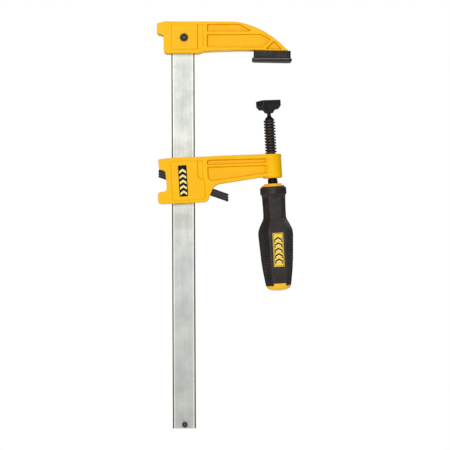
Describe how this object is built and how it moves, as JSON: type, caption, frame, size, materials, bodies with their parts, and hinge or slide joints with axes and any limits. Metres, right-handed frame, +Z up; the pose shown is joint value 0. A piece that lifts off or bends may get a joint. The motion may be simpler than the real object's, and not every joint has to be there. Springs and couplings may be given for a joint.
{
  "type": "f clamp",
  "caption": "Bar clamp with a fixed jaw, a sliding jaw with a multi-plate clutch, a screw with a moulded handle, a swivel pad and soft jaw pads.",
  "frame": {"origin": "centre of the fixed jaw's clamping face", "axes": "+Z up along the bar, away from the sliding jaw; +X from the bar towards the screw; +Y from the front to the back of the clamp"},
  "size_m": [0.149, 0.0356, 0.4463],
  "materials": {
    "bar_steel": "zinc plated",
    "yellow_paint": "semi-gloss",
    "yellow_plastic": "moulded",
    "black_steel": "black oxide",
    "spring_steel": "satin",
    "black_plastic": "moulded",
    "white_plastic": "moulded",
    "grip_rubber": "fine matt",
    "label_film": "printed"
  },
  "bodies": {
    "frame": {"bar": "bar_steel", "fixed_jaw": "yellow_paint", "head_pin": "black_steel", "fixed_jaw_pad": "black_plastic", "stop_pin": "black_steel"},
    "arm": {"sliding_jaw": "yellow_paint", "clutch_spring": "spring_steel", "jaw_label": "label_film"},
    "plate_top": {"clutch_plate_top": "black_steel"},
    "plate_middle": {"clutch_plate_middle": "black_steel"},
    "plate_bottom": {"clutch_plate_bottom": "black_steel"},
    "thrust": {"ball_seat": "white_plastic"},
    "spindle": {"screw": "black_steel", "handle_core": "yellow_plastic", "handle_grip": "grip_rubber", "handle_label": "label_film"},
    "pad_ring": {"retaining_ring": "spring_steel"},
    "pad": {"swivel_pad": "black_steel", "swivel_pad_cap": "black_plastic"}
  },
  "joints": [
    {"name": "arm_slide", "type": "slide", "parent": "frame", "child": "arm", "axis": [0, 0, 1], "range_m": [-0.239, 0.03]},
    {"name": "clutch_release", "type": "hinge", "parent": "arm", "child": "plate_top", "pos_m": [-0.0812, 0, -0.13321], "axis": [0, -1, 0], "range_deg": [0, 15], "stiffness_Nm_per_rad": 0.05, "springref_deg": -34.38, "deforming": ["clutch_spring"]},
    {"name": "middle_plate_release", "type": "hinge", "parent": "arm", "child": "plate_middle", "pos_m": [-0.0812, 0, -0.13616], "axis": [0, -1, 0], "range_deg": [0, 15], "stiffness_Nm_per_rad": 0.05, "springref_deg": -34.38},
    {"name": "bottom_plate_release", "type": "hinge", "parent": "arm", "child": "plate_bottom", "pos_m": [-0.0812, 0, -0.13911], "axis": [0, -1, 0], "range_deg": [0, 15], "stiffness_Nm_per_rad": 0.05, "springref_deg": -34.38},
    {"name": "screw_feed", "type": "slide", "parent": "arm", "child": "thrust", "axis": [-0.0523, 0, 0.9986], "range_m": [-0.043, 0.006]},
    {"name": "screw_turn", "type": "hinge", "parent": "thrust", "child": "spindle", "pos_m": [0.00027, 0, -0.12507], "axis": [-0.0523, 0, 0.9986], "range_deg": [-4880, 685]},
    {"name": "pad_spin", "type": "hinge", "parent": "thrust", "child": "pad_ring", "pos_m": [-0.00363, 0, -0.05067], "axis": [-0.0523, 0, 0.9986], "continuous": true},
    {"name": "pad_tilt", "type": "hinge", "parent": "pad_ring", "child": "pad", "pos_m": [-0.00363, 0, -0.05067], "axis": [0, 1, 0], "range_deg": [-12, 12]}
  ],
  "couplings": [
    {"joint": "middle_plate_release", "follows": "clutch_release", "ratio": 1},
    {"joint": "bottom_plate_release", "follows": "clutch_release", "ratio": 1},
    {"joint": "screw_turn", "follows": "screw_feed", "rad_per_m": 1979}
  ]
}
